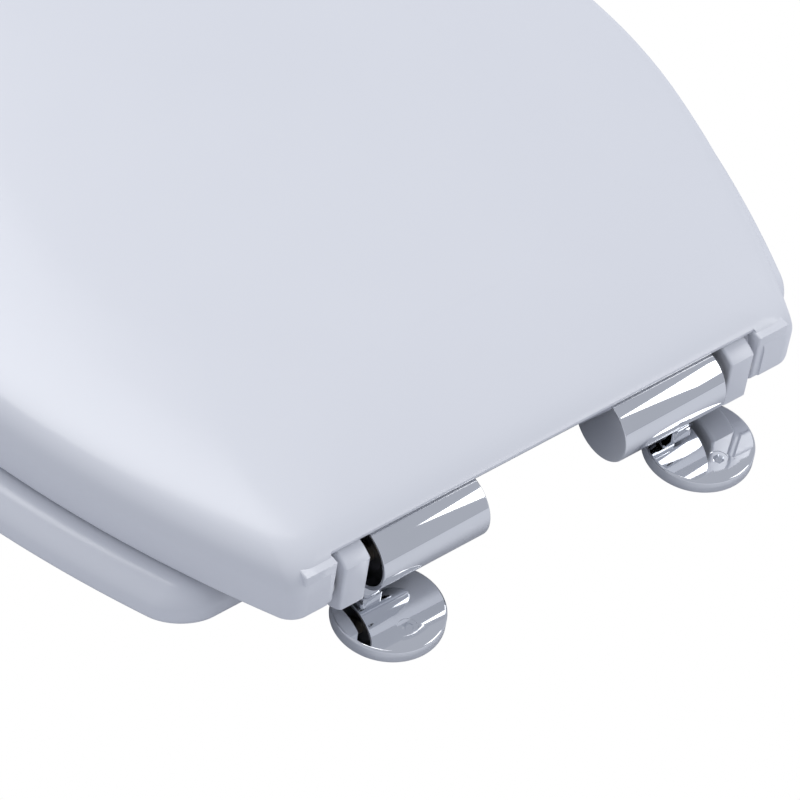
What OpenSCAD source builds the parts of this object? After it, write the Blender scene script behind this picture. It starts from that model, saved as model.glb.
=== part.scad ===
// Toilet seat and cover on two round hinge barrels with fixing discs.
// Closed, standing on its buffers and discs. Origin midway between the two
// fixing holes on the plane it stands on; +X right, +Y to the front, +Z up.

/* [Fixing] */
// Distance between the two fixing holes, mm
hole_spacing = 155; // [150:1:160]
// Diameter of a base disc, mm
disc_d = 44.1; // [42:0.1:46]
// Height of a base disc, mm
disc_h = 5.9; // [5.6:0.1:6.4]

/* [Hinges] */
// Diameter of a hinge barrel, mm
barrel_d = 29.8; // [29:0.1:30.2]
// Length of a hinge barrel, mm
barrel_l = 51; // [46:1:52]
// Height of the hinge axis above the base plane, mm
axis_z = 27.9; // [27.5:0.1:28.5]
// Distance of the hinge axis in front of the fixing holes, mm
axis_y = 12.8; // [12:0.1:13.5]

/* [Cover and seat] */
// Height of the top of the cover, mm
cover_top = 51.9; // [51:0.1:54]
// Wall thickness of the cover, mm
cover_wall = 4.5; // [4:0.1:5]
// Height of the top of the seat ring, mm
seat_top = 21.5; // [21:0.1:21.6]
// Half width of the opening in the seat, mm
opening_a = 112; // [100:1:118]
// Half length of the opening in the seat, mm
opening_b = 140; // [125:1:145]

/* [Part to show] */
// Name of one sub-part, or all

/* [Hidden] */

$fn = 96;
fit_gap = 0.02;     // between pieces fixed to each other
run_gap = 0.05;     // radial play of a turning pin

// Hinge stations, measured sideways from the middle
hinge_x = hole_spacing / 2;
barrel_out = hinge_x + 7;
barrel_in = barrel_out - barrel_l;
arm_in = 89;
arm_out = 101;
ear_in = 104;
ear_out = 119;
bore_wall = 1.8;
barrel_floor = 3;
pin_r = 4;
pin_in = 60;
pin_out = 117;
key_depth = 0.8;
bush_r = 6;
flange_r = 8;
flange_t = 1;

// Base disc, fixing plate and gasket
disc_wall = 1.6;
disc_roof = 1.8;
disc_edge = 1;
gasket_t = 1.2;
plate_gap = 0.1;
bolt_r = 3.4;
spigot_r = 3.4;
grub_y = -11.3;
grub_r = 4;
socket_r = 2.4;
post_w = 10.3;
post_d = 8;
post_edge = 2;
foot_w = 7;
foot_d = 5;
foot_h = 2;

// Plan outline
outline_c = [0, 200];   // point the outline is swept round
front_y = 177;          // from here on the outline is an ellipse
cover_rear = 3;
cover_bottom = 22.7;
cover_front = 436;
ring_grow = 16;
ring_rear = 30;
ring_bottom = 7.6;
opening_y = 232;

// Half width of the cover at a distance y from the rear
function side_w(y) = 121.8 + 0.519 * y - 0.00114 * y * y;
blend_y = 125;
blend_slope = 0.519 - 2 * 0.00114 * blend_y;
wide_w = side_w(blend_y) + blend_slope * (front_y - blend_y) / 2;
function half_w(y) = y < blend_y ? side_w(y)
    : y > front_y ? wide_w
    : side_w(blend_y) + blend_slope * (y - blend_y)
        - blend_slope * pow(y - blend_y, 2) / (2 * (front_y - blend_y));
function half_slope(y) = y < blend_y ? 0.519 - 2 * 0.00114 * y
    : y > front_y ? 0
    : blend_slope * (1 - (y - blend_y) / (front_y - blend_y));

// Distance inside an ellipse, measured square to its edge
function ellipse_in(x, y, a, b) =
    let (s = max(0.001, sqrt(pow(x / a, 2) + pow(y / b, 2))),
         g = sqrt(pow(x / (a * a), 2) + pow(y / (b * b), 2)) / s)
    (1 - s) / max(g, 0.0001);

// Distance inside the side and front edge of an outline grown outward
function side_in(x, y, grow) = y > front_y
    ? ellipse_in(x, y - front_y, wide_w + grow,
        cover_front - front_y + grow * 0.3)
    : (half_w(y) + grow - abs(x)) / sqrt(1 + pow(half_slope(y), 2));

// Distance inside an edge with its rear corners rounded
function edge_in(x, y, grow, rear, corner) =
    let (a = side_in(x, y, grow), b = y - rear)
    a < corner && b < corner
        ? corner - sqrt(pow(corner - a, 2) + pow(corner - b, 2))
        : min(a, b);

// Point on the ray at angle t from the rear, found by halving
function ray(t, r) = outline_c + r * [sin(t), -cos(t)];
function halve(f, t, lo, hi, n) = n == 0 ? ray(t, (lo + hi) / 2)
    : let (m = (lo + hi) / 2, p = ray(t, m))
    f(p[0], p[1]) > 0 ? halve(f, t, m, hi, n - 1) : halve(f, t, lo, m, n - 1);

// Angles all round, closer together at the two rear corners
function half_angles(corner) = concat(
    [for (a = [0 : 5 : corner - 7]) a],
    [for (a = [-5 : 1.25 : 5]) corner + a],
    [for (a = [corner + 8 : 4 : 178]) a]);
function all_angles(corner) = let (h = half_angles(corner), n = len(h))
    concat(h, [180], [for (i = [n - 1 : -1 : 1]) 360 - h[i]]);

// Closed loops joined to a skin, ring after ring
function flat(list) = [for (part = list) each part];
function skin_faces(rows, n, closed) = [
    for (k = [0 : closed ? rows - 1 : rows - 2])
        for (j = [0 : n - 1])
            let (a = k * n + j, b = k * n + (j + 1) % n,
                 c = ((k + 1) % rows) * n + (j + 1) % n,
                 d = ((k + 1) % rows) * n + j)
            each [[a, b, c], [a, c, d]]];

// Cover: distance in from the edge, height
cover_profile = [[0, cover_bottom], [0, 30], [0, 36], [0.9, 40], [2.6, 43.3],
    [5.5, 46], [9.5, 47.9], [16, 49.4], [28, 50.5], [48, 51.3], [80, 51.8]];
cover_corner = 5;
cover_angles = all_angles(32.2);

function cover_loop(inset, z) = [
    for (t = cover_angles)
        let (p = halve(function (x, y)
                edge_in(x, y, 0, cover_rear,
                    max(cover_corner, inset * 1.5 + cover_corner)) - inset,
                t, 0, 300, 20))
        [p[0], p[1], z]];

// Outer skin from the middle down to the rim, then the inner skin back up
cover_lift = cover_top - 51.9;
cover_outer = [for (p = cover_profile)
    [p[0], p[1] + (p[1] > 44 ? cover_lift : 0)]];
cover_last = len(cover_outer) - 1;
cover_rows = concat(
    [for (i = [cover_last : -1 : 0]) cover_outer[i]],
    [[cover_wall, cover_bottom]],
    [for (i = [1 : cover_last]) cover_outer[i] + [cover_wall, -cover_wall]]);

module cover_shell() {
    n = len(cover_angles);
    rows = len(cover_rows);
    middle = rows * n;
    points = concat(flat([for (p = cover_rows) cover_loop(p[0], p[1])]),
        [[outline_c[0], outline_c[1], cover_top],
        [outline_c[0], outline_c[1], cover_top - cover_wall]]);
    faces = concat(skin_faces(rows, n, false),
        [for (j = [0 : n - 1]) [middle, (j + 1) % n, j]],
        [for (j = [0 : n - 1])
            [middle + 1, middle - n + j, middle - n + (j + 1) % n]]);
    polyhedron(points, faces, convexity = 8);
}

// A bar along X at the hinge axis
module axle(x1, x2, r) {
    translate([x1, axis_y, axis_z]) rotate([0, 90, 0])
        cylinder(r = r, h = x2 - x1);
}

lip_y = 8.5;
lip_z = 43.8;
recess_y = 40;
ear_side = [[8.6, 19], [18, 19], [23, 24], [23, 46], [12.5, 46], [6.6, 42.6],
    [cover_rear + 0.7, 37], [cover_rear + 0.7, 24]];
stop_r = 6;
stop_pin_r = 2.5;
stop_h = 2.5;
stop_plug = 5;
boss_r = 8;
cover_stops = [[140, 120], [70, 390]];
seat_stops = [[148, 112], [96, 364]];
pad_l = 40;
pad_w = 14;
buffer_gap = 0.3;
stop_low = seat_top + buffer_gap;
boss_low = stop_low + stop_h;

module lid() {
    color("white")
    difference() {
        union() {
            cover_shell();
            for (s = [-1, 1]) {
                translate([s > 0 ? ear_in : -ear_out, 0, 0]) rotate([90, 0, 90])
                    linear_extrude(ear_out - ear_in) polygon(ear_side);
                for (p = cover_stops)
                    translate([s * p[0], p[1], boss_low])
                        cylinder(r = boss_r, h = 48.5 - boss_low);
            }
        }
        translate([-ear_in, -5, cover_bottom - 5])
            cube([2 * ear_in, lip_y + 5, 60]);
        translate([-ear_in, 0, cover_bottom - 5])
            cube([2 * ear_in, recess_y, lip_z - cover_bottom + 5]);
        for (s = [-1, 1]) {
            axle(s > 0 ? ear_in - 1 : -ear_out + 1,
                s > 0 ? ear_out - 1 : -ear_in + 1, bush_r + fit_gap);
            for (p = cover_stops)
                translate([s * p[0], p[1], boss_low - 1])
                    cylinder(r = stop_pin_r + fit_gap, h = stop_plug + 1.2);
        }
    }
}

module lid_buffers() {
    color("gainsboro")
    for (s = [-1, 1])
        for (p = cover_stops)
            translate([s * p[0], p[1], stop_low]) {
                cylinder(r = stop_r, h = stop_h - fit_gap);
                cylinder(r = stop_pin_r, h = stop_h + stop_plug);
            }
}

// Seat ring section: which edge it is measured from, distance in, height
ring_section = [
    ["out", 3, ring_bottom], ["out", 0.6, 8.4], ["out", 0, 10],
    ["out", 1.2, 14], ["out", 5, 18.2], ["out", 10, 20.6],
    ["out", 16, seat_top], ["in", 14, seat_top], ["in", 6, 20.4],
    ["in", 1.5, 17], ["in", 0, 12], ["in", 0, ring_bottom],
    ["in", 5, ring_bottom], ["in", 7, 15.6], ["out", 15, 15.6],
    ["out", 7, ring_bottom]];
ring_corner = 14;
ring_angles = all_angles(41.4);

function ring_loop(edge, inset, z) = [
    for (t = ring_angles)
        let (p = edge == "out"
            ? halve(function (x, y)
                edge_in(x, y, ring_grow, ring_rear,
                    max(ring_corner, inset + 3)) - inset, t, 0, 300, 20)
            : halve(function (x, y)
                ellipse_in(x, y - opening_y, opening_a, opening_b) + inset,
                t, 0, 300, 20))
        [p[0], p[1], z]];

module ring_skin() {
    n = len(ring_angles);
    rows = len(ring_section);
    points = flat([for (s = ring_section) ring_loop(s[0], s[1], s[2])]);
    faces = [for (f = skin_faces(rows, n, true)) [f[0], f[2], f[1]]];
    polyhedron(points, faces, convexity = 8);
}

arm_r = 15.5;
arm_flat_y = 2.3;
arm_side = [[12.8, 12.6], [24, 9.6], [62, 9.6], [62, 21], [46, 21.3],
    [34, 25.5], [27.6, 32.4], [12.8, 27.9]];

module seat_arm(x1) {
    intersection() {
        axle(x1, x1 + arm_out - arm_in, arm_r);
        translate([x1, arm_flat_y, 0])
            cube([arm_out - arm_in, 40, 60]);
    }
    translate([x1, 0, 0]) rotate([90, 0, 90])
        linear_extrude(arm_out - arm_in) polygon(arm_side);
}

module seat_ring() {
    color("white")
    difference() {
        union() {
            ring_skin();
            for (s = [-1, 1]) {
                seat_arm(s > 0 ? arm_in : -arm_out);
                for (p = seat_stops)
                    translate([s * p[0], p[1], ring_bottom])
                        cylinder(r = boss_r, h = 9);
            }
        }
        for (s = [-1, 1]) {
            axle(s > 0 ? arm_in - 1 : -arm_out - 1,
                s > 0 ? arm_out + 1 : -arm_in + 1, bush_r + fit_gap);
            for (p = seat_stops)
                translate([s * p[0], p[1], ring_bottom - 1])
                    cylinder(r = stop_pin_r + fit_gap, h = stop_plug + 1.2);
        }
    }
}

module seat_buffers() {
    color("gainsboro")
    for (s = [-1, 1])
        for (p = seat_stops)
            translate([s * p[0], p[1], 0]) {
                linear_extrude(ring_bottom - fit_gap)
                    for (e = [-1, 1])
                        translate([0, e * (pad_l - pad_w) / 2])
                            circle(r = pad_w / 2);
                translate([-pad_w / 2, -(pad_l - pad_w) / 2, 0])
                    cube([pad_w, pad_l - pad_w, ring_bottom - fit_gap]);
                cylinder(r = stop_pin_r, h = ring_bottom + stop_plug);
            }
}

// Hinge pieces, drawn on the right and mirrored to the left
module side_of(s) {
    if (s > 0) children();
    else mirror([1, 0, 0]) children();
}

module base_disc() {
    r = disc_d / 2;
    color("silver")
    translate([hinge_x, 0, 0])
    difference() {
        rotate_extrude() {
            square([r, disc_h - disc_edge]);
            square([r - disc_edge, disc_h]);
            translate([r - disc_edge, disc_h - disc_edge])
                circle(r = disc_edge);
        }
        translate([0, 0, -1])
            cylinder(r = r - disc_wall, h = disc_h - disc_roof + 1);
        translate([0, axis_y, 0]) cylinder(r = spigot_r + fit_gap, h = 10);
        translate([0, grub_y, 0]) cylinder(r = grub_r + fit_gap, h = 10);
    }
}

module rounded_slab(w, d, r, h) {
    linear_extrude(h) {
        square([w - 2 * r, d], center = true);
        square([w, d - 2 * r], center = true);
        for (x = [-1, 1])
            for (y = [-1, 1])
                translate([x * (w / 2 - r), y * (d / 2 - r)]) circle(r = r);
    }
}

module hinge_barrel() {
    r = barrel_d / 2;
    color("silver")
    difference() {
        union() {
            axle(barrel_in, barrel_out, r);
            translate([hinge_x, axis_y, disc_h + foot_h])
                rounded_slab(post_w, post_d, post_edge,
                    axis_z - r - disc_h);
            hull() {
                translate([hinge_x, axis_y, disc_h + foot_h])
                    rounded_slab(post_w, post_d, post_edge, 0.05);
                translate([hinge_x, axis_y, disc_h + 0.1])
                    rounded_slab(foot_w, foot_d, post_edge, 0.05);
            }
            translate([hinge_x, axis_y, gasket_t + plate_gap])
                cylinder(r = spigot_r, h = disc_h + 2);
        }
        axle(barrel_in + barrel_floor, barrel_out + 1, r - bore_wall);
    }
}

damper_in = barrel_in + barrel_floor + 0.3;
damper_out = barrel_out - 3.5;
damper_r = barrel_d / 2 - bore_wall - 0.05;

module damper() {
    color("dimgray")
    difference() {
        union() {
            axle(damper_in, damper_out - 2, damper_r);
            axle(damper_out - 2.1, damper_out, damper_r - 5);
        }
        axle(pin_in - 1, damper_out + 1, pin_r + run_gap);
    }
}

// Pin with a flat over the stretch that turns one of the two covers
module hinge_pin(key_1, key_2) {
    color("silver")
    difference() {
        axle(pin_in, pin_out, pin_r);
        translate([key_1, axis_y - pin_r, axis_z + pin_r - key_depth])
            cube([key_2 - key_1, 2 * pin_r, 2]);
    }
}

module bush(x1, x2, keyed) {
    color("whitesmoke")
    difference() {
        union() {
            axle(x1 - flange_t, x2, bush_r);
            axle(x1 - flange_t, x1 - fit_gap, flange_r);
        }
        difference() {
            axle(x1 - 2, x2 + 1, pin_r + run_gap);
            if (keyed)
                translate([x1 - 3, axis_y - flange_r,
                        axis_z + pin_r - key_depth + fit_gap])
                    cube([x2 - x1 + 6, 2 * flange_r, flange_r]);
        }
    }
}

module grub_screw() {
    color("silver")
    translate([hinge_x, grub_y, 0])
    difference() {
        translate([0, 0, gasket_t + plate_gap])
            cylinder(r = grub_r, h = disc_h - 0.2 - gasket_t - plate_gap);
        translate([0, 0, disc_h - 3])
            cylinder(r = socket_r, h = 4, $fn = 6);
    }
}

module fixing_plate() {
    h = disc_h - disc_roof - plate_gap - gasket_t - plate_gap;
    color("lightgray")
    translate([hinge_x, 0, gasket_t + plate_gap])
    difference() {
        cylinder(r = disc_d / 2 - disc_wall - plate_gap, h = h);
        translate([0, 0, -1]) cylinder(r = bolt_r, h = h + 2);
        translate([0, axis_y, -1]) cylinder(r = spigot_r + fit_gap, h = h + 2);
        translate([0, grub_y, -1]) cylinder(r = grub_r + fit_gap, h = h + 2);
    }
}

module base_gasket() {
    color("gray")
    translate([hinge_x, 0, 0])
    difference() {
        cylinder(r = disc_d / 2 - disc_wall - plate_gap, h = gasket_t);
        translate([0, 0, -1]) cylinder(r = bolt_r, h = gasket_t + 2);
    }
}

module left_base_disc() { side_of(-1) base_disc(); }
module right_base_disc() { side_of(1) base_disc(); }
module left_hinge_barrel() { side_of(-1) hinge_barrel(); }
module right_hinge_barrel() { side_of(1) hinge_barrel(); }
module left_damper() { side_of(-1) damper(); }
module right_damper() { side_of(1) damper(); }
module left_hinge_pin() { side_of(-1) hinge_pin(arm_in - 2, arm_out + 1); }
module right_hinge_pin() { side_of(1) hinge_pin(ear_in - 2, pin_out + 1); }
module left_seat_bush() { side_of(-1) bush(arm_in, arm_out, true); }
module right_seat_bush() { side_of(1) bush(arm_in, arm_out, false); }
module left_lid_bush() { side_of(-1) bush(ear_in, ear_out - 1.2, false); }
module right_lid_bush() { side_of(1) bush(ear_in, ear_out - 1.2, true); }
module left_grub_screw() { side_of(-1) grub_screw(); }
module right_grub_screw() { side_of(1) grub_screw(); }
module left_fixing_plate() { side_of(-1) fixing_plate(); }
module right_fixing_plate() { side_of(1) fixing_plate(); }
module left_base_gasket() { side_of(-1) base_gasket(); }
module right_base_gasket() { side_of(1) base_gasket(); }

lid();
lid_buffers();
seat_ring();
seat_buffers();
left_base_disc();
left_hinge_barrel();
left_damper();
left_hinge_pin();
left_seat_bush();
left_lid_bush();
left_grub_screw();
left_fixing_plate();
left_base_gasket();
right_base_disc();
right_hinge_barrel();
right_damper();
right_hinge_pin();
right_seat_bush();
right_lid_bush();
right_grub_screw();
right_fixing_plate();
right_base_gasket();
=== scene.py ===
import math
import random

import bmesh
import bpy
import numpy as np
from mathutils import Matrix, Vector


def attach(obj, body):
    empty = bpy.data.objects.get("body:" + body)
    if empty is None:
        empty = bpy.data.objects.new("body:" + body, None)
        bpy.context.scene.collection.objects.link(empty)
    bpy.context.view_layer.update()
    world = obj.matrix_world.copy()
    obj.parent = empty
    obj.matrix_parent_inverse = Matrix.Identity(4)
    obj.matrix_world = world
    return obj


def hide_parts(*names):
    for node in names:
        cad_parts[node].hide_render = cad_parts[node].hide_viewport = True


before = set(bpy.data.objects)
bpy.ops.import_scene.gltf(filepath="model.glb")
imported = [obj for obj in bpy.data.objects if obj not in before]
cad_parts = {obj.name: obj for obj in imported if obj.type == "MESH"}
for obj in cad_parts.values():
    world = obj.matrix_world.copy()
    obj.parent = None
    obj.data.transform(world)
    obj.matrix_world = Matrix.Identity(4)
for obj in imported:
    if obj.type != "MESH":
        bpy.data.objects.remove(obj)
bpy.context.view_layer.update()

random.seed(7)
MM = 0.001

# ---------------------------------------------------------------- sizes, mm
AXIS_Y = 12.8
AXIS_Z = 27.9
HINGE_X = 77.5
BARREL_R = 14.9
BARREL_OUT = 84.5
BARREL_IN = 33.5
BARREL_WALL = 1.8
DISC_R = 22.05
DISC_H = 5.9
ARM_IN = 89.0
ARM_OUT = 101.0
EAR_IN = 104.0
EAR_OUT = 119.0
LIP_Y = 8.5
LIP_Z = 43.8
COVER_REAR = 3.0
COVER_BOTTOM = 22.7
COVER_FRONT = 436.0
FRONT_Y = 177.0
BLEND_Y = 125.0
RING_GROW = 16.0
RING_REAR = 30.0
RING_BOTTOM = 7.6
OPENING_Y = 232.0
OPENING_A = 112.0
OPENING_B = 140.0
CENTRE = (0.0, 200.0)


# ---------------------------------------------------------------- outlines
def side_w(y):
    return 121.8 + 0.519 * y - 0.00114 * y * y


BLEND_SLOPE = 0.519 - 2 * 0.00114 * BLEND_Y
WIDE_W = side_w(BLEND_Y) + BLEND_SLOPE * (FRONT_Y - BLEND_Y) / 2


def half_w(y):
    span = FRONT_Y - BLEND_Y
    blend = (side_w(BLEND_Y) + BLEND_SLOPE * (y - BLEND_Y)
             - BLEND_SLOPE * (y - BLEND_Y) ** 2 / (2 * span))
    return np.where(y < BLEND_Y, side_w(y), np.where(y > FRONT_Y, WIDE_W, blend))


def half_slope(y):
    span = FRONT_Y - BLEND_Y
    blend = BLEND_SLOPE * (1 - (y - BLEND_Y) / span)
    return np.where(y < BLEND_Y, 0.519 - 2 * 0.00114 * y,
                    np.where(y > FRONT_Y, 0.0, blend))


def ellipse_in(x, y, a, b):
    s = np.maximum(0.001, np.sqrt((x / a) ** 2 + (y / b) ** 2))
    g = np.sqrt((x / (a * a)) ** 2 + (y / (b * b)) ** 2) / s
    return (1 - s) / np.maximum(g, 1e-4)


def side_in(x, y, grow):
    front = ellipse_in(x, y - FRONT_Y, WIDE_W + grow,
                       COVER_FRONT - FRONT_Y + grow * 0.3)
    side = (half_w(y) + grow - np.abs(x)) / np.sqrt(1 + half_slope(y) ** 2)
    return np.where(y > FRONT_Y, front, side)


def edge_in(x, y, grow, rear, corner):
    a = side_in(x, y, grow)
    b = y - rear
    both = corner - np.hypot(corner - a, corner - b)
    return np.where((a < corner) & (b < corner), both, np.minimum(a, b))


def on_ray(f, t):
    """Points on the rays at angles t (degrees from the rear) where f is zero."""
    lo = np.zeros_like(t)
    hi = np.full_like(t, 300.0)
    s, c = np.sin(np.radians(t)), -np.cos(np.radians(t))
    for _ in range(34):
        m = (lo + hi) / 2
        inside = f(CENTRE[0] + m * s, CENTRE[1] + m * c) > 0
        lo = np.where(inside, m, lo)
        hi = np.where(inside, hi, m)
    m = (lo + hi) / 2
    return CENTRE[0] + m * s, CENTRE[1] + m * c


def sweep_angles(corner, extra=()):
    half = np.concatenate([
        np.linspace(0, corner - 4, 70, endpoint=False),
        np.linspace(corner - 4, corner + 4, 80, endpoint=False),
        np.linspace(corner + 4, 180, 190)])
    half = np.unique(np.concatenate([half, np.array(list(extra))]))
    return np.concatenate([half, 360 - half[-2:0:-1]])


def smooth_curve(points, n, power=1.0):
    """A smooth curve through points (columns), n samples along its length."""
    p = np.array(points, float)
    d = np.concatenate([[0], np.cumsum(np.hypot(*np.diff(p, axis=0).T) ** power)])
    h = np.diff(d)
    slope = np.diff(p, axis=0) / h[:, None]
    m = np.zeros_like(p)
    m[0], m[-1] = slope[0], slope[-1]
    for i in range(1, len(p) - 1):
        for k in range(p.shape[1]):
            a, b = slope[i - 1, k], slope[i, k]
            if a * b > 0:
                w1, w2 = 2 * h[i] + h[i - 1], h[i] + 2 * h[i - 1]
                m[i, k] = (w1 + w2) / (w1 / a + w2 / b)
    s = np.linspace(0, d[-1], n)
    i = np.clip(np.searchsorted(d, s, side="right") - 1, 0, len(h) - 1)
    u = ((s - d[i]) / h[i])[:, None]
    hh = h[i][:, None]
    return ((2 * u ** 3 - 3 * u ** 2 + 1) * p[i] + (u ** 3 - 2 * u ** 2 + u) * hh * m[i]
            + (-2 * u ** 3 + 3 * u ** 2) * p[i + 1] + (u ** 3 - u ** 2) * hh * m[i + 1])


# ---------------------------------------------------------------- mesh helpers
def new_object(name, verts, faces, material, smooth=40):
    mesh = bpy.data.meshes.new(name)
    mesh.from_pydata([tuple(v) for v in verts], [], [tuple(f) for f in faces])
    mesh.validate()
    bm = bmesh.new()
    bm.from_mesh(mesh)
    bmesh.ops.remove_doubles(bm, verts=bm.verts, dist=2e-6)
    bmesh.ops.recalc_face_normals(bm, faces=bm.faces)
    bm.to_mesh(mesh)
    bm.free()
    for poly in mesh.polygons:
        poly.use_smooth = True
    mesh.set_sharp_from_angle(angle=math.radians(smooth))
    obj = bpy.data.objects.new(name, mesh)
    bpy.context.scene.collection.objects.link(obj)
    obj.data.materials.append(material)
    return obj


def grid_faces(rows, cols, wrap_rows=False, wrap_cols=True):
    faces = []
    for k in range(rows if wrap_rows else rows - 1):
        for j in range(cols if wrap_cols else cols - 1):
            a = k * cols + j
            b = k * cols + (j + 1) % cols
            c = ((k + 1) % rows) * cols + (j + 1) % cols
            d = ((k + 1) % rows) * cols + j
            faces.append((a, b, c, d))
    return faces


def lathe(name, profile, material, segments=192, closed=True, smooth=35):
    """A turned piece: profile is (radius, height) in mm, turned about Z."""
    verts, n = [], len(profile)
    for r, z in profile:
        for j in range(segments):
            a = 2 * math.pi * j / segments
            verts.append((r * math.cos(a) * MM, r * math.sin(a) * MM, z * MM))
    faces = grid_faces(n, segments, wrap_rows=closed)
    return new_object(name, verts, faces, material, smooth)


def arc(cx, cy, r, a0, a1, n):
    """Points on an arc, angles in degrees."""
    return [(cx + r * math.cos(math.radians(a)), cy + r * math.sin(math.radians(a)))
            for a in np.linspace(a0, a1, n)]


def join(name, objects):
    for o in bpy.context.selected_objects:
        o.select_set(False)
    for o in objects:
        o.select_set(True)
    bpy.context.view_layer.objects.active = objects[0]
    bpy.ops.object.join()
    objects[0].name = name
    return objects[0]


def place(obj, matrix):
    obj.data.transform(matrix)
    if matrix.determinant() < 0:
        obj.data.flip_normals()
    return obj


def extrude_x(name, outline, x1, x2, bevel, material):
    """A side profile (y, z) in mm made into a plate from x1 to x2, edges rounded."""
    n = len(outline)
    verts = [(x * MM, p[0] * MM, p[1] * MM) for x in (x1, x2) for p in outline]
    faces = [tuple(range(n))[::-1], tuple(range(n, 2 * n))]
    faces += [(j, (j + 1) % n, n + (j + 1) % n, n + j) for j in range(n)]
    obj = new_object(name, verts, faces, material)
    bm = bmesh.new()
    bm.from_mesh(obj.data)
    rim = [e for e in bm.edges if abs(e.verts[0].co.x - e.verts[1].co.x) < 1e-7]
    bmesh.ops.bevel(bm, geom=rim, offset=bevel * MM, segments=5, profile=0.5,
                    affect="EDGES", clamp_overlap=True)
    bm.to_mesh(obj.data)
    bm.free()
    for poly in obj.data.polygons:
        poly.use_smooth = True
    obj.data.set_sharp_from_angle(angle=math.radians(32))
    return obj


# ---------------------------------------------------------------- materials
def node_material(name):
    mat = bpy.data.materials.new(name)
    mat.use_nodes = True
    tree = mat.node_tree
    shader = tree.nodes["Principled BSDF"]
    return mat, tree, shader


def tinted(name, low, high, scale, rough, rough_var=0.03, metallic=0.0,
           bump=0.0, coat=0.0, ior=1.5, detail=4.0, bump_scale=None):
    """A surface whose colour and gloss drift a little with a fine noise."""
    mat, tree, shader = node_material(name)
    coords = tree.nodes.new("ShaderNodeTexCoord")
    noise = tree.nodes.new("ShaderNodeTexNoise")
    noise.inputs["Scale"].default_value = scale
    noise.inputs["Detail"].default_value = detail
    tree.links.new(coords.outputs["Object"], noise.inputs["Vector"])
    ramp = tree.nodes.new("ShaderNodeValToRGB")
    ramp.color_ramp.elements[0].position = 0.3
    ramp.color_ramp.elements[0].color = (*low, 1)
    ramp.color_ramp.elements[1].position = 0.7
    ramp.color_ramp.elements[1].color = (*high, 1)
    tree.links.new(noise.outputs["Fac"], ramp.inputs["Fac"])
    tree.links.new(ramp.outputs["Color"], shader.inputs["Base Color"])
    gloss = tree.nodes.new("ShaderNodeMapRange")
    gloss.inputs["To Min"].default_value = max(0.0, rough - rough_var)
    gloss.inputs["To Max"].default_value = rough + rough_var
    tree.links.new(noise.outputs["Fac"], gloss.inputs["Value"])
    tree.links.new(gloss.outputs["Result"], shader.inputs["Roughness"])
    shader.inputs["Metallic"].default_value = metallic
    shader.inputs["IOR"].default_value = ior
    shader.inputs["Coat Weight"].default_value = coat
    shader.inputs["Coat Roughness"].default_value = 0.12
    if bump:
        fine = tree.nodes.new("ShaderNodeTexNoise")
        fine.inputs["Scale"].default_value = bump_scale or scale * 6
        fine.inputs["Detail"].default_value = 2
        tree.links.new(coords.outputs["Object"], fine.inputs["Vector"])
        b = tree.nodes.new("ShaderNodeBump")
        b.inputs["Strength"].default_value = bump
        b.inputs["Distance"].default_value = 0.0002
        tree.links.new(fine.outputs["Fac"], b.inputs["Height"])
        tree.links.new(b.outputs["Normal"], shader.inputs["Normal"])
    return mat


MAT_COVER = tinted("cover_gloss", (0.800, 0.812, 0.850), (0.815, 0.826, 0.862), 9,
                   0.30, 0.02, coat=0.25)
MAT_SEAT = tinted("seat_gloss", (0.790, 0.803, 0.845), (0.806, 0.818, 0.856), 9,
                  0.30, 0.02, coat=0.25)
MAT_CHROME = tinted("chrome_plate", (0.83, 0.84, 0.86), (0.86, 0.87, 0.89), 30,
                    0.045, 0.012, metallic=1.0)
MAT_RUBBER = tinted("buffer_rubber", (0.74, 0.74, 0.73), (0.80, 0.80, 0.79), 60,
                    0.62, 0.05, bump=0.2)
MAT_BLACK = tinted("damper_case", (0.012, 0.012, 0.014), (0.02, 0.019, 0.02), 80,
                   0.42, 0.05, bump=0.15)
MAT_PIN = tinted("pin_steel", (0.42, 0.36, 0.28), (0.52, 0.45, 0.36), 90,
                 0.28, 0.05, metallic=1.0)
MAT_BUSH = tinted("bush_plastic", (0.62, 0.62, 0.62), (0.70, 0.70, 0.70), 60,
                  0.5, 0.05)
MAT_PLATE = tinted("plate_steel", (0.55, 0.56, 0.58), (0.65, 0.66, 0.68), 60,
                   0.3, 0.06, metallic=1.0)
MAT_GASKET = tinted("gasket_rubber", (0.05, 0.05, 0.052), (0.075, 0.075, 0.078), 60,
                    0.7, 0.05, bump=0.2)


# ---------------------------------------------------------------- cover
COVER_SIDE = [(0.3, COVER_BOTTOM), (0, COVER_BOTTOM + 0.8), (0, 30), (0, 36),
              (0.9, 40), (2.6, 43.3), (5.5, 46), (9.5, 47.9), (16, 49.4), (28, 50.5),
              (48, 51.3), (80, 51.8), (150, 51.9)]
COVER_WALL = 4.5
LIP_STEP = LIP_Y - COVER_REAR


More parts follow.
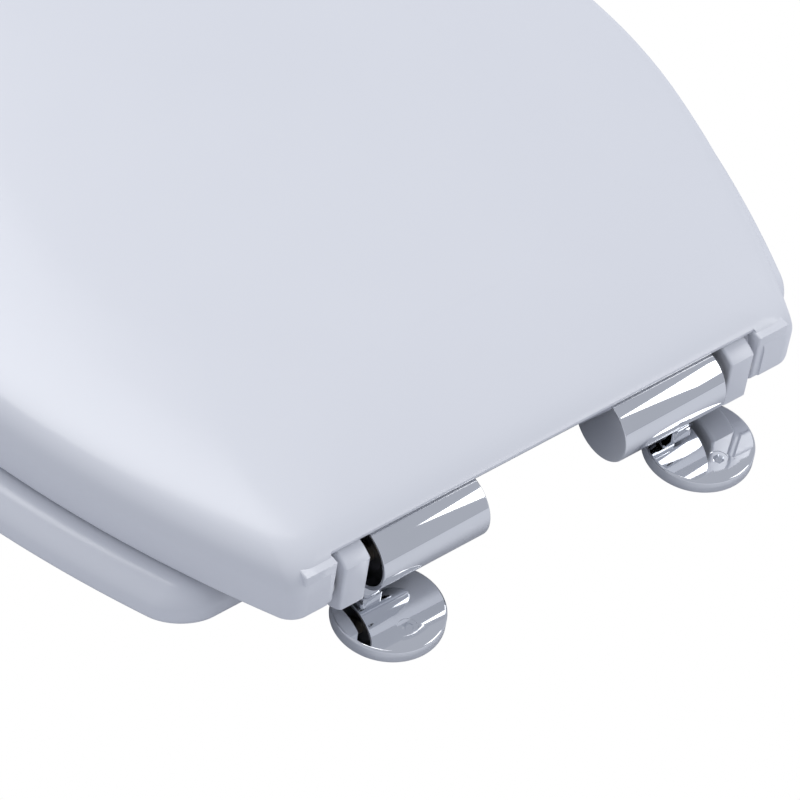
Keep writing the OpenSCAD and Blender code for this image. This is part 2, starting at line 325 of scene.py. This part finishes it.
def make_cover():
    step = math.degrees(math.atan2(EAR_IN, CENTRE[1] - LIP_Y))
    t = sweep_angles(32.2, (step - 0.05, step + 0.05))
    outer = smooth_curve(COVER_SIDE, 90, 0.6)
    inner = [(d + COVER_WALL, z - COVER_WALL) for d, z in COVER_SIDE[3:]]
    inner = smooth_curve([(COVER_WALL, COVER_BOTTOM)] + inner, 40, 0.6)
    rows = [(d, z, False) for d, z in outer[::-1]] + [(d, z, True) for d, z in inner]
    lip = np.minimum(t, 360 - t) < step
    verts = []
    for d, z, inside in rows:
        corner = max(5.0, d * 1.5 + 5.0)
        x, y = on_ray(lambda x, y: edge_in(x, y, 0, COVER_REAR, corner) - d, t)
        zz = np.full_like(x, z)
        # between the ears the wall ends in a thin lip over the barrels
        cut = lip & (y < LIP_Y + (3.0 if inside else 0.0))
        if inside:
            y = np.where(cut, LIP_Y + 3.0, y)
            zz = np.where(lip & (zz < LIP_Z), LIP_Z, zz)
        else:
            y = np.where(cut, LIP_Y + np.where(z < LIP_Z + 0.6, 0.4, 0.0), y)
            zz = np.where(lip & (zz < LIP_Z), LIP_Z, zz)
        verts += [(a * MM, b * MM, c * MM) for a, b, c in zip(x, y, zz)]
    n = len(t)
    faces = grid_faces(len(rows), n)
    verts.append((CENTRE[0] * MM, CENTRE[1] * MM, 51.9 * MM))
    verts.append((CENTRE[0] * MM, CENTRE[1] * MM, (51.9 - COVER_WALL) * MM))
    top, low = len(verts) - 2, len(verts) - 1
    last = (len(rows) - 1) * n
    faces += [(top, (j + 1) % n, j) for j in range(n)]
    faces += [(low, last + j, last + (j + 1) % n) for j in range(n)]
    shell = new_object("cover_shell", verts, faces, MAT_COVER, 35)
    parts = [shell]
    for s in (-1, 1):
        ear = [(COVER_REAR + 0.8, 24.5), (COVER_REAR + 0.8, 44.5), (22, 46.0),
               (23, 24.0)] 
        ear += arc(18.0, 24.0, 5.0, 0, -90, 8) + arc(8.8, 24.0, 5.0, -90, -180, 8)
        x1, x2 = (EAR_IN, EAR_OUT) if s > 0 else (-EAR_OUT, -EAR_IN)
        parts.append(extrude_x("ear", ear, x1, x2, 0.8, MAT_COVER))
    cover = join("cover_moulding", parts)
    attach(cover, "cover")
    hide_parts("lid")
    return cover


# ---------------------------------------------------------------- seat ring
RING_OUT = [(7, RING_BOTTOM), (3, RING_BOTTOM), (0.8, 8.3), (0, 10.2), (0.9, 14),
            (4.2, 17.8), (9.5, 20.4), (16, 21.3)]
RING_TOP = [(14, 21.5), (6, 20.4), (1.5, 17), (0, 12), (0, RING_BOTTOM)]


def make_ring():
    t = sweep_angles(41.4)
    out = [("out", d, z) for d, z in smooth_curve(RING_OUT, 44, 0.6)]
    top = [("in", d, z) for d, z in smooth_curve(RING_TOP, 30, 0.6)]
    low = [("in", 5, RING_BOTTOM), ("in", 6, 12), ("in", 8, 15.6), ("out", 16, 15.6),
           ("out", 9, 11)]
    verts = []
    section = out + top + low
    for edge, d, z in section:
        if edge == "out":
            corner = max(14.0, d + 3.0)
            x, y = on_ray(lambda x, y: edge_in(x, y, RING_GROW, RING_REAR, corner) - d, t)
        else:
            x, y = on_ray(lambda x, y: ellipse_in(x, y - OPENING_Y, OPENING_A,
                                                  OPENING_B) + d, t)
        verts += [(a * MM, b * MM, z * MM) for a, b in zip(x, y)]
    faces = grid_faces(len(section), len(t), wrap_rows=True)
    ring = new_object("ring_shell", verts, faces, MAT_SEAT, 38)
    parts = [ring]
    flat_y = 2.3
    r = 15.5
    a0 = math.degrees(math.acos((AXIS_Y - flat_y) / r))
    for s in (-1, 1):
        side = arc(AXIS_Y, AXIS_Z, r, 180 - a0, 25, 30)
        side += [(34, 25.5), (46, 21.3), (60, 21), (60, 9.8), (24, 9.8)]
        side += arc(AXIS_Y, AXIS_Z, r, 275, 180 + a0, 16)
        x1, x2 = (ARM_IN, ARM_OUT) if s > 0 else (-ARM_OUT, -ARM_IN)
        parts.append(extrude_x("arm", side, x1, x2, 1.2, MAT_SEAT))
    seat = join("seat_moulding", parts)
    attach(seat, "seat")
    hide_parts("seat_ring")
    return seat


# ---------------------------------------------------------------- hinges
def rounded_rect(w, d, r, n=8):
    pts = []
    for cx, cy, a in ((1, 1, 0), (-1, 1, 90), (-1, -1, 180), (1, -1, 270)):
        pts += arc(cx * (w / 2 - r), cy * (d / 2 - r), r, a, a + 90, n)
    return pts


def make_post():
    """The post under a barrel: a rounded block that narrows to its foot."""
    levels = []
    for h, k in [(0.0, 0.0)] + [(0.1 + 2.2 * math.sin(math.radians(a)),
                                 1 - math.cos(math.radians(a)))
                                for a in range(0, 91, 9)] + [(9.5, 1.0)]:
        levels.append((DISC_H - 0.05 + h, 7.0 + 3.3 * k, 5.2 + 2.8 * k))
    verts, n = [], 0
    for z, w, d in levels:
        ring = rounded_rect(w, d, 1.9)
        n = len(ring)
        verts += [((HINGE_X + x) * MM, (AXIS_Y + y) * MM, z * MM) for x, y in ring]
    faces = grid_faces(len(levels), n)
    faces += [tuple(range(n))[::-1], tuple(range((len(levels) - 1) * n, len(levels) * n))]
    return new_object("post", verts, faces, MAT_CHROME, 30)


def make_barrel():
    length = BARREL_OUT - BARREL_IN
    r, e = BARREL_R, 0.7
    profile = [(0.01, 0)] + [(r - e, 0)] + arc(r - e, e, e, -90, 0, 8)[1:]
    profile += arc(r - 0.4, length - 0.4, 0.4, 0, 90, 6)
    profile += arc(r - BARREL_WALL + 0.3, length - 0.3, 0.3, 90, 180, 6)
    profile += [(r - BARREL_WALL, 3.2), (0.01, 3.2)]
    tube = lathe("tube", profile, MAT_CHROME, 256)
    turn = Matrix.Rotation(math.radians(90), 4, "Y")
    shift = Matrix.Translation((BARREL_IN * MM, AXIS_Y * MM, AXIS_Z * MM))
    return place(tube, shift @ turn)


def make_disc():
    r, h, e = DISC_R, DISC_H, 1.0
    profile = [(0.01, h)] + arc(r - e, h - e, e, 90, 0, 12)
    profile += arc(r - 0.3, 0.3, 0.3, 0, -90, 4)
    profile += [(r - 1.6, 0), (r - 1.6, 4.1), (0.01, 4.1)]
    disc = lathe("disc", profile, MAT_CHROME, 256)
    place(disc, Matrix.Translation((HINGE_X * MM, 0, 0)))
    hole = lathe("hole", [(0.01, 2), (4.02, 2), (4.02, 9), (0.01, 9)], MAT_CHROME, 64)
    place(hole, Matrix.Translation((HINGE_X * MM, -11.3 * MM, 0)))
    cut = disc.modifiers.new("cut", "BOOLEAN")
    cut.object = hole
    cut.operation = "DIFFERENCE"
    cut.solver = "EXACT"
    bpy.context.view_layer.objects.active = disc
    bpy.ops.object.modifier_apply(modifier="cut")
    bpy.data.objects.remove(hole)
    disc.data.set_sharp_from_angle(angle=math.radians(35))
    return disc


def make_hinges():
    flip = Matrix.Scale(-1, 4, (1, 0, 0))
    for side, s in (("left", -1), ("right", 1)):
        body = join(side + "_barrel_casting", [make_barrel(), make_post()])
        disc = make_disc()
        disc.name = side + "_disc_cover"
        if s < 0:
            place(body, flip)
            place(disc, flip)
        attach(body, "hinges")
        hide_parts(side + "_hinge_barrel")
        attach(disc, "hinges")
        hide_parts(side + "_base_disc")


# ---------------------------------------------------------------- camera
def make_camera():
    cam = bpy.data.cameras.new("camera")
    cam.sensor_width = 36.0
    cam.lens = 244.6
    cam.clip_end = 20
    obj = bpy.data.objects.new("camera", cam)
    bpy.context.scene.collection.objects.link(obj)
    right = Vector((0.7742, -0.6219, 0.1178)).normalized()
    back = Vector((-0.4922, -0.4747, 0.7297)).normalized()
    up = back.cross(right).normalized()
    right = up.cross(back)
    rot = Matrix((right, up, back)).transposed().to_4x4()
    obj.matrix_world = Matrix.Translation((-1.0417, -0.9170, 1.5381)) @ rot
    bpy.context.scene.camera = obj
    return obj


# ---------------------------------------------------------------- studio
def make_studio():
    scene = bpy.context.scene
    scene.view_settings.view_transform = "Standard"
    world = bpy.data.worlds.new("studio")
    scene.world = world
    world.use_nodes = True
    tree = world.node_tree
    tree.nodes.clear()
    out = tree.nodes.new("ShaderNodeOutputWorld")
    mix = tree.nodes.new("ShaderNodeMixShader")
    path = tree.nodes.new("ShaderNodeLightPath")
    soft = tree.nodes.new("ShaderNodeBackground")
    soft.inputs["Color"].default_value = (0.80, 0.84, 0.95, 1)
    soft.inputs["Strength"].default_value = 0.55
    white = tree.nodes.new("ShaderNodeBackground")
    white.inputs["Color"].default_value = (1, 1, 1, 1)
    white.inputs["Strength"].default_value = 1.0
    tree.links.new(path.outputs["Is Camera Ray"], mix.inputs["Fac"])
    tree.links.new(soft.outputs["Background"], mix.inputs[1])
    tree.links.new(white.outputs["Background"], mix.inputs[2])
    tree.links.new(mix.outputs["Shader"], out.inputs["Surface"])

    # pale floor, plain white where the camera sees it
    mesh = bpy.data.meshes.new("floor")
    k = 6.0
    mesh.from_pydata([(-k, -k, 0), (k, -k, 0), (k, k, 0), (-k, k, 0)], [], [(0, 1, 2, 3)])
    floor = bpy.data.objects.new("floor", mesh)
    scene.collection.objects.link(floor)
    floor.location.z = -0.0006
    mat = bpy.data.materials.new("floor")
    mat.use_nodes = True
    ft = mat.node_tree
    ft.nodes.clear()
    fo = ft.nodes.new("ShaderNodeOutputMaterial")
    fm = ft.nodes.new("ShaderNodeMixShader")
    fp = ft.nodes.new("ShaderNodeLightPath")
    fd = ft.nodes.new("ShaderNodeBsdfDiffuse")
    fd.inputs["Color"].default_value = (0.78, 0.79, 0.82, 1)
    fe = ft.nodes.new("ShaderNodeEmission")
    fe.inputs["Color"].default_value = (1, 1, 1, 1)
    fe.inputs["Strength"].default_value = 1.0
    ft.links.new(fp.outputs["Is Camera Ray"], fm.inputs["Fac"])
    ft.links.new(fd.outputs["BSDF"], fm.inputs[1])
    ft.links.new(fe.outputs["Emission"], fm.inputs[2])
    ft.links.new(fm.outputs["Shader"], fo.inputs["Surface"])
    floor.data.materials.append(mat)

    def area(name, loc, target, w, h, watts, colour=(1, 1, 1)):
        lamp = bpy.data.lights.new(name, "AREA")
        lamp.shape = "RECTANGLE"
        lamp.size = w
        lamp.size_y = h
        lamp.energy = watts
        lamp.color = colour
        obj = bpy.data.objects.new(name, lamp)
        scene.collection.objects.link(obj)
        obj.location = loc
        d = Vector(target) - Vector(loc)
        obj.rotation_euler = d.to_track_quat("-Z", "Y").to_euler()

    area("key", (0.3, 1.6, 2.4), (0, 0.15, 0), 1.6, 1.6, 30)
    area("fill", (1.8, -1.2, 1.6), (0, 0.1, 0), 1.2, 1.2, 12)


FINISH = {"lid_buffers": MAT_RUBBER, "seat_buffers": MAT_RUBBER,
          "_damper": MAT_BLACK, "_hinge_pin": MAT_PIN, "_seat_bush": MAT_BUSH,
          "_lid_bush": MAT_BUSH, "_grub_screw": MAT_CHROME,
          "_fixing_plate": MAT_PLATE, "_base_gasket": MAT_GASKET}


def dress_nodes():
    for name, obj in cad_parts.items():
        for key, mat in FINISH.items():
            if name.endswith(key):
                obj.data.materials.clear()
                obj.data.materials.append(mat)
                for poly in obj.data.polygons:
                    poly.use_smooth = True
                obj.data.set_sharp_from_angle(angle=math.radians(30))


make_camera()
make_cover()
make_ring()
make_hinges()
dress_nodes()
make_studio()
